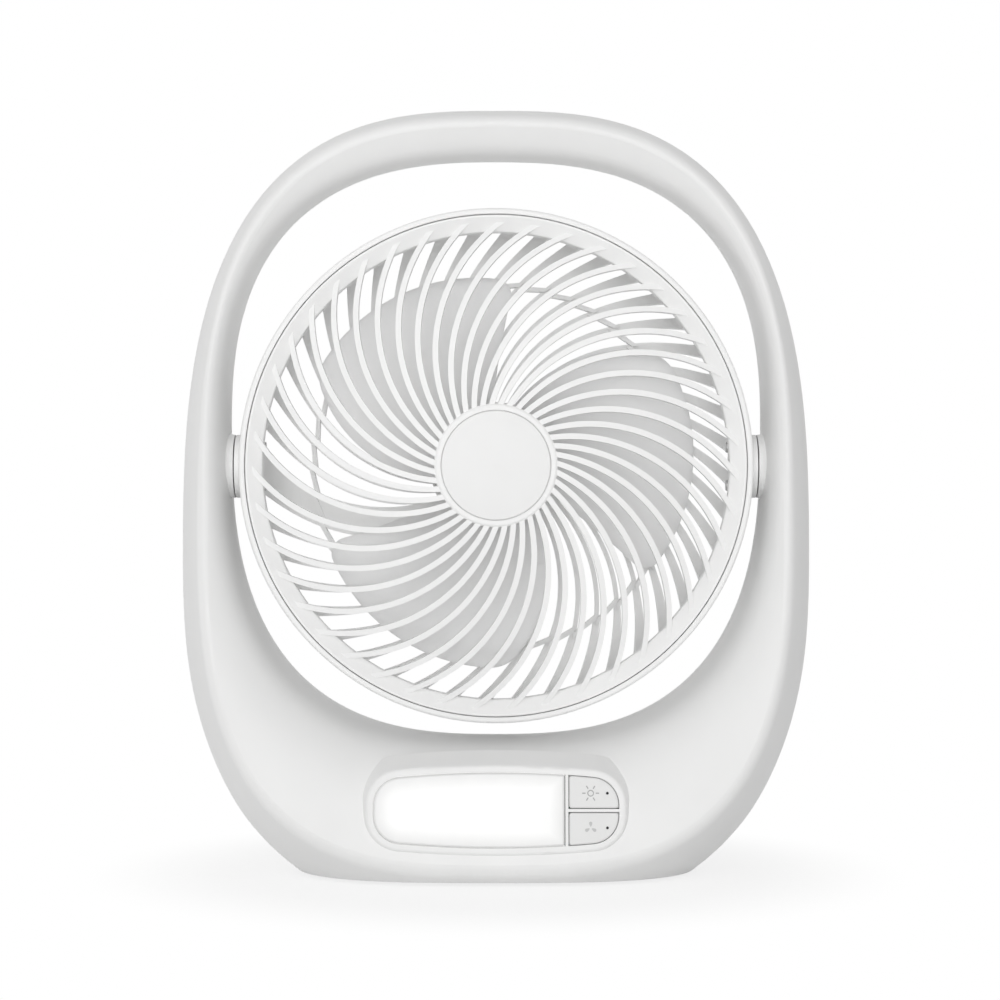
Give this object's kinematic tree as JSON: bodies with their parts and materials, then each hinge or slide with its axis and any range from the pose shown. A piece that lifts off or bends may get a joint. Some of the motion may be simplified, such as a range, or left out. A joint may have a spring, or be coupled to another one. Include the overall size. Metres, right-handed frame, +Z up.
{
  "type": "rechargeable fan",
  "caption": "Rechargeable table fan: an egg-shaped ring is base, arms and handle round a tilting swirl-grille head; the base has a milky lamp window and push buttons.",
  "frame": {"origin": "on the table under the middle of the base", "axes": "+Z up, -Y out of the front with the lamp, +X to the right seen from the front"},
  "size_m": [0.1938, 0.0768, 0.2352],
  "materials": {
    "shell_white": "satin white moulding with a very fine grain",
    "guard_white": "satin white moulding",
    "impeller_white": "satin white moulding",
    "lamp_milk": "milky diffusing plastic, lit from behind",
    "button_white": "satin white moulding",
    "indicator_dark": "small dark light guide",
    "reflector_white": "white reflector",
    "board_green": "varnished circuit board",
    "switch_black": "black moulding",
    "diode_yellow": "phosphor under clear resin",
    "steel": "zinc-plated steel",
    "rubber_grey": "soft grey rubber",
    "cell_wrap": "shrink sleeve over a metal can",
    "cradle_black": "black moulding",
    "nickel": "nickel strip",
    "nylon": "natural nylon",
    "bronze": "oil-filled sintered bronze",
    "magnet_grey": "sintered ferrite",
    "stack_steel": "laminated steel with copper winding"
  },
  "bodies": {
    "frame": {"front_shell": "shell_white", "rear_shell": "shell_white", "shell_screws": "steel", "base_plate": "shell_white", "rubber_feet": "rubber_grey", "base_screws": "steel", "battery_cells": "cell_wrap", "battery_cradle": "cradle_black", "battery_links": "nickel", "lamp_diffuser": "lamp_milk", "lamp_reflector": "reflector_white", "lamp_leds": "diode_yellow", "control_board": "board_green", "switch_bodies": "switch_black", "indicator_leds": "diode_yellow", "board_screws": "steel", "charge_board": "board_green", "charging_port": "steel", "port_tongue": "switch_black", "pivot_bushes": "nylon", "friction_washers": "nylon"},
    "light_key": {"light_button": "button_white", "light_indicator": "indicator_dark", "light_plunger": "switch_black"},
    "fan_key": {"fan_button": "button_white", "fan_indicator": "indicator_dark", "fan_plunger": "switch_black"},
    "head": {"front_grille": "guard_white", "hub_cap": "guard_white", "grille_screws": "steel", "rear_grille": "guard_white", "motor_cover": "guard_white", "motor_can": "steel", "motor_end_cap": "switch_black", "motor_bearings": "bronze", "motor_magnets": "magnet_grey", "motor_screws": "steel", "left_pivot_pin": "guard_white", "right_pivot_pin": "guard_white", "pivot_screws": "steel", "retaining_clips": "steel"},
    "rotor": {"impeller": "impeller_white", "motor_shaft": "steel", "armature": "stack_steel"}
  },
  "joints": [
    {"name": "head_tilt", "type": "hinge", "parent": "frame", "child": "head", "pos_m": [0, 0, 0.1252], "axis": [1, 0, 0], "range_deg": [-90, 90]},
    {"name": "fan_spin", "type": "hinge", "parent": "head", "child": "rotor", "pos_m": [0, 0, 0.1252], "axis": [0, 1, 0], "continuous": true},
    {"name": "light_press", "type": "slide", "parent": "frame", "child": "light_key", "axis": [0, 0.9976, -0.0698], "range_m": [0, 0.0008], "stiffness_N_per_m": 1200, "springref_m": -0.0004},
    {"name": "fan_press", "type": "slide", "parent": "frame", "child": "fan_key", "axis": [0, 0.9976, -0.0698], "range_m": [0, 0.0008], "stiffness_N_per_m": 1200, "springref_m": -0.0004}
  ]
}
